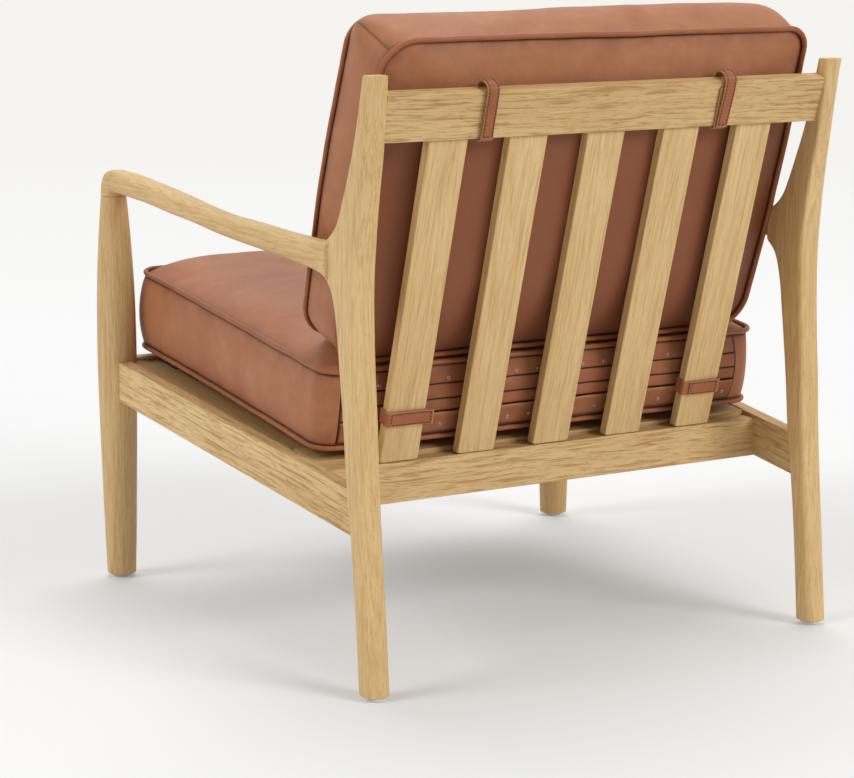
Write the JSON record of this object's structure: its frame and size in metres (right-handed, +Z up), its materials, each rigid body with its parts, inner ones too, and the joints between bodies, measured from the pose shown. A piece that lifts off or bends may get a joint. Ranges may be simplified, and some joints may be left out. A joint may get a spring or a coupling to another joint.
{
  "type": "easy chair",
  "caption": "Low easy chair: oak frame with a slatted back and curved arms, and loose piped leather cushions held by leather straps.",
  "frame": {"origin": "on the floor, under the middle of the chair's overall box", "axes": "+Z up from the floor, +Y to the chair's back, +X to the sitter's left; the front faces -Y"},
  "size_m": [0.7096, 0.6582, 0.7339],
  "materials": {
    "oak": "satin",
    "leather": "satin",
    "leather_trim": "satin",
    "webbing": "matte",
    "glide": "matte",
    "eyelet": "satin"
  },
  "bodies": {
    "frame": {"front_leg_left": "oak", "front_leg_right": "oak", "rear_leg_left": "oak", "rear_leg_right": "oak", "arm_left": "oak", "arm_right": "oak", "side_rail_left": "oak", "side_rail_right": "oak", "side_cleat_left": "oak", "side_cleat_right": "oak", "front_rail": "oak", "back_rail": "oak", "crest_rail": "oak", "rear_cleat": "oak", "back_slat_1": "oak", "back_slat_2": "oak", "back_slat_3": "oak", "back_slat_4": "oak", "back_slat_5": "oak", "seat_band_1": "webbing", "seat_band_2": "webbing", "seat_band_3": "webbing", "seat_band_4": "webbing", "seat_band_5": "webbing", "seat_band_6": "webbing", "seat_band_7": "webbing", "front_glide_left": "glide", "front_glide_right": "glide", "rear_glide_left": "glide", "rear_glide_right": "glide", "crest_strap_left": "leather_trim", "crest_strap_right": "leather_trim", "slat_strap_left": "leather_trim", "slat_strap_right": "leather_trim"},
    "seat_cushion": {"seat_cushion": "leather", "seat_welt_top": "leather_trim", "seat_welt_bottom": "leather_trim", "seat_rear_panel": "leather_trim"},
    "back_cushion": {"back_cushion": "leather", "back_welt_front": "leather_trim", "back_welt_rear": "leather_trim"}
  },
  "joints": [
    {"name": "seat_cushion_slide", "type": "slide", "parent": "frame", "child": "seat_cushion", "axis": [0, -0.9952, 0.0976], "range_m": [0, 0.5]},
    {"name": "back_cushion_lift", "type": "slide", "parent": "frame", "child": "back_cushion", "axis": [0, 0, 1], "range_m": [0, 0.35]}
  ]
}
